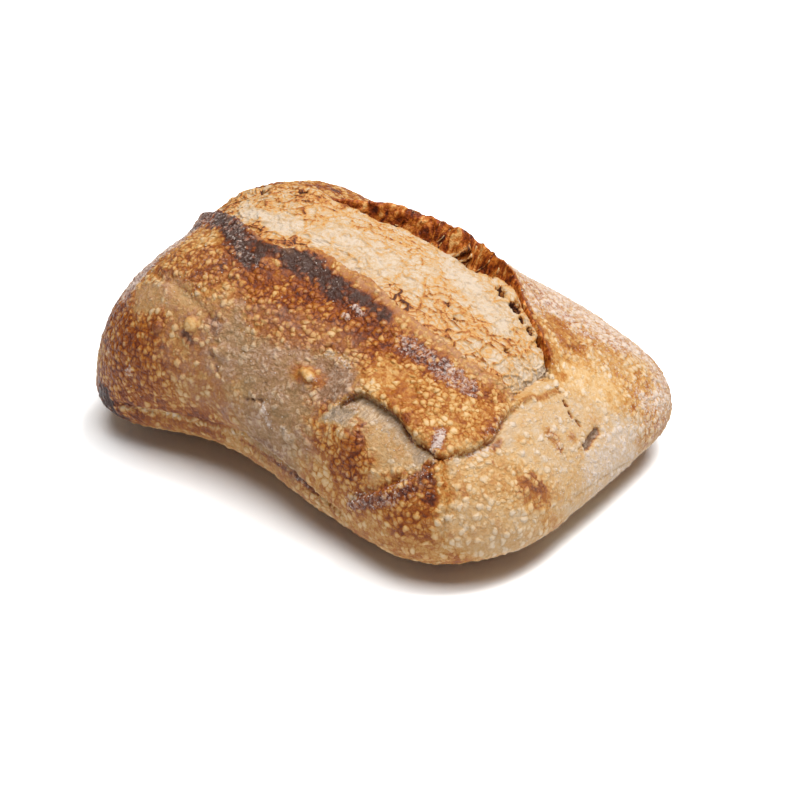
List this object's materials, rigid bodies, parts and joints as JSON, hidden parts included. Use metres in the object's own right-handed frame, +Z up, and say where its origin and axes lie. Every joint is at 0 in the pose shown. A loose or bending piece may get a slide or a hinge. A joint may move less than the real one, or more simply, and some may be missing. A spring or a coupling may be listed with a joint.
{
  "type": "bread roll",
  "caption": "Rustic crusty bread roll with a long score that tore open in the oven, showing pale crumb beside a raised lip.",
  "frame": {"origin": "middle of the roll's bounding box at the level it rests on", "axes": "+X along the roll to its low end, +Z up, +Y to the back, away from the drawn-in long side"},
  "size_m": [0.1205, 0.0916, 0.0523],
  "materials": {
    "crust": "dry blistered bread crust, mottled golden to dark brown, matt with a faint sheen",
    "crumb": "torn pale crumb, cream with golden fibrous ridges, matt",
    "flour": "loose off-white flour, matt"
  },
  "bodies": {
    "root": {"roll": "crust"}
  },
  "joints": []
}
